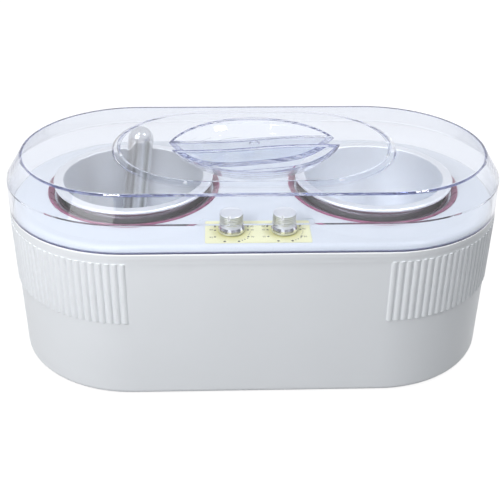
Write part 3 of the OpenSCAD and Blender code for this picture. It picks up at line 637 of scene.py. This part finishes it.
def join(parts):
    """Several point and face lists as one."""
    points = []
    faces = []
    at = 0
    for some, rows in parts:
        points.append(np.asarray(some, float))
        faces += [[at + i for i in row] for row in rows]
        at += len(some)
    return np.vstack(points), faces


# The dial's print, in millimetres from a knob's axis: places, then the radius of a dot or the height of type
LOW_DOTS, LOW_DOT = ((-4.9, -14.9), (4.9, -14.9)), 0.95
SIDE_DOTS, SIDE_DOT = [(x, y) for x in (-11.6, 11.6) for y in (-8.4, 1.3, 6.4)], 0.8
STEP_DOTS, STEP_DOT = ((7.2, -13.6), (9.0, -12.2), (11.0, -10.6)), 0.5
ARC, ARC_RADIUS, ARC_DOT = np.radians(np.linspace(-26, -2, 6)), 13.2, 0.24
INNER_NUMBERS, INNER_X = (("60", 6.4), ("40", 1.3), ("20", -8.6)), 14.5
OUTER_NUMBERS, OUTER_X = (("80", 2.0), ("95", -9.0)), 14.2
TYPE = 2.5


def dial_printing():
    """Dots round each knob, a rising row of small dots, a thin dotted arc and the settings' numbers."""
    turn = np.linspace(0, 2 * np.pi, 12, endpoint=False)
    disc = np.c_[np.cos(turn), np.sin(turn)]
    arc_dots = [(ARC_RADIUS * math.cos(angle), ARC_RADIUS * math.sin(angle)) for angle in ARC]
    rows = ((LOW_DOTS, LOW_DOT), (SIDE_DOTS, SIDE_DOT), (STEP_DOTS, STEP_DOT), (arc_dots, ARC_DOT))
    dots = []
    numbers = []
    for knob_x, outer in ((-DIAL_X, -1), (DIAL_X, 1)):
        dots += [(knob_x + x, DIAL_Y + y, radius) for row, radius in rows for x, y in row]
        for words, y in INNER_NUMBERS:
            numbers.append(figure(words, knob_x - outer * INNER_X, DIAL_Y + y, TYPE))
        for words, y in OUTER_NUMBERS:
            numbers.append(figure(words, knob_x + outer * OUTER_X, DIAL_Y + y, TYPE))
    ink = dial_ink("dial_ink", paint(28, 27, 20), paint(52, 50, 38))
    piece("dial_dots", *pads(disc, dots, PLATE_TOP - 2 * SUNK, 2 * INK), "housing", "dial_yellow", ink)
    ink = dial_ink("number_ink", paint(70, 67, 46), paint(98, 94, 66))
    piece("dial_numbers", *join(numbers), "housing", "dial_yellow", ink)


seal_lip(-1, "seal_lip_left", "seal_left")
seal_lip(1, "seal_lip_right", "seal_right")
dial_printing()

YAW, PITCH, ROLL = math.radians(2.38), math.radians(29.75), math.radians(0.61)
EYE = Vector((-28.66, -631.09, 310.46 + SEAM)) * MM
FRAME = 500  # the photograph's width in pixels
FOCAL = 909.17  # focal length in those pixels


def photograph_camera():
    """A camera at EYE that looks along yaw and pitch with a little roll."""
    forward = Vector((math.sin(YAW) * math.cos(PITCH), math.cos(YAW) * math.cos(PITCH), -math.sin(PITCH)))
    level = Vector((math.cos(YAW), -math.sin(YAW), 0.0))
    upright = level.cross(forward)
    right = level * math.cos(ROLL) + upright * math.sin(ROLL)
    up = upright * math.cos(ROLL) - level * math.sin(ROLL)
    data = bpy.data.cameras.new("camera")
    data.sensor_width = 36.0
    data.lens = FOCAL / FRAME * data.sensor_width
    data.clip_start = 0.01
    data.clip_end = 20.0
    cam = bpy.data.objects.new("camera", data)
    bpy.context.scene.collection.objects.link(cam)
    cam.matrix_world = Matrix((
        (right.x, up.x, -forward.x, EYE.x),
        (right.y, up.y, -forward.y, EYE.y),
        (right.z, up.z, -forward.z, EYE.z),
        (0, 0, 0, 1)))
    bpy.context.scene.camera = cam


def lamp(name, place, aim, size, watts, mirrored=True):
    """A soft lamp of size metres at place, turned to aim; one that isn't mirrored leaves no highlight."""
    data = bpy.data.lights.new(name, "AREA")
    data.shape = "RECTANGLE"
    data.size, data.size_y = size
    data.energy = watts
    obj = bpy.data.objects.new(name, data)
    bpy.context.scene.collection.objects.link(obj)
    obj.location = place
    obj.rotation_euler = (Vector(aim) - Vector(place)).to_track_quat("-Z", "Y").to_euler()
    obj.visible_camera = False
    obj.visible_glossy = mirrored
    obj.visible_transmission = mirrored


def seen_directly(f):
    """1 for camera, mirror and clear rays and 0 for the rays that light matt surfaces."""
    path = f.node("ShaderNodeLightPath")
    seen = f.math("MAXIMUM", path.outputs["Is Camera Ray"], path.outputs["Is Glossy Ray"])
    return f.math("MAXIMUM", seen, path.outputs["Is Transmission Ray"])


class Room(Finish):
    """The world's node tree, with the same short calls."""

    def __init__(self):
        world = bpy.data.worlds.new("room")
        bpy.context.scene.world = world
        world.use_nodes = True
        self.tree = world.node_tree
        self.tree.nodes.clear()


def white_room(level):
    """World: plain white for camera, mirror and clear rays, and a softer white as light."""
    f = Room()
    light = f.node("ShaderNodeBackground")
    light.inputs["Color"].default_value = (0.94, 0.97, 1.0, 1)
    light.inputs["Strength"].default_value = level
    plain = f.node("ShaderNodeBackground")
    plain.inputs["Color"].default_value = (1, 1, 1, 1)
    mix = f.node("ShaderNodeMixShader")
    f.link(seen_directly(f), mix.inputs[0])
    f.link(light.outputs[0], mix.inputs[1])
    f.link(plain.outputs[0], mix.inputs[2])
    f.link(mix.outputs[0], f.node("ShaderNodeOutputWorld").inputs[0])


def pale_floor():
    """A wide white floor that keeps the shadow: pale grey as a bounce, lifted to white when seen."""
    half = 3.0
    mesh = bpy.data.meshes.new("floor")
    corners = [(-half, -half, 0), (half, -half, 0), (half, half, 0), (-half, half, 0)]
    mesh.from_pydata(corners, [], [(0, 1, 2, 3)])
    obj = bpy.data.objects.new("floor", mesh)
    bpy.context.scene.collection.objects.link(obj)
    f = Finish("floor")
    f.set(Base_Color=(0.2, 0.2, 0.2, 1), Roughness=0.9, Specular_IOR_Level=0.1)
    f.set(Emission_Color=(1, 1, 1, 1))
    f.set(Emission_Strength=f.math("MULTIPLY", seen_directly(f), 0.9))
    dress(obj, f.mat)


photograph_camera()
white_room(level=0.38)
pale_floor()

# Places and sizes in metres; the two overhead lamps are those that the lid's scoops mirror
MIDDLE = (0, 0, 0.08)
GRIP = (0, 0.04, 0.16)
lamp("key", (-1.0, -1.2, 1.3), MIDDLE, size=(1.2, 1.2), watts=10)
lamp("near_left", (-0.30, -0.48, 0.46), (-0.08, -0.09, 0.1), size=(0.2, 0.2), watts=1.5, mirrored=False)
lamp("overhead_right", (0.65, -0.18, 1.26), GRIP, size=(0.24, 0.14), watts=3.8)
lamp("overhead_left", (-0.32, -0.24, 1.26), GRIP, size=(0.2, 0.11), watts=3.2)
lamp("back", (0.4, 1.6, 0.4), MIDDLE, size=(1.6, 0.6), watts=12, mirrored=False)
bpy.context.scene.view_settings.view_transform = "Standard"

# Light that runs inside the lid's wall needs many reflections before it comes out at an edge
WALL_BOUNCES = 96
cycles = bpy.context.scene.cycles
cycles.max_bounces = WALL_BOUNCES
cycles.glossy_bounces = WALL_BOUNCES
cycles.transmission_bounces = WALL_BOUNCES
cycles.transparent_max_bounces = 32
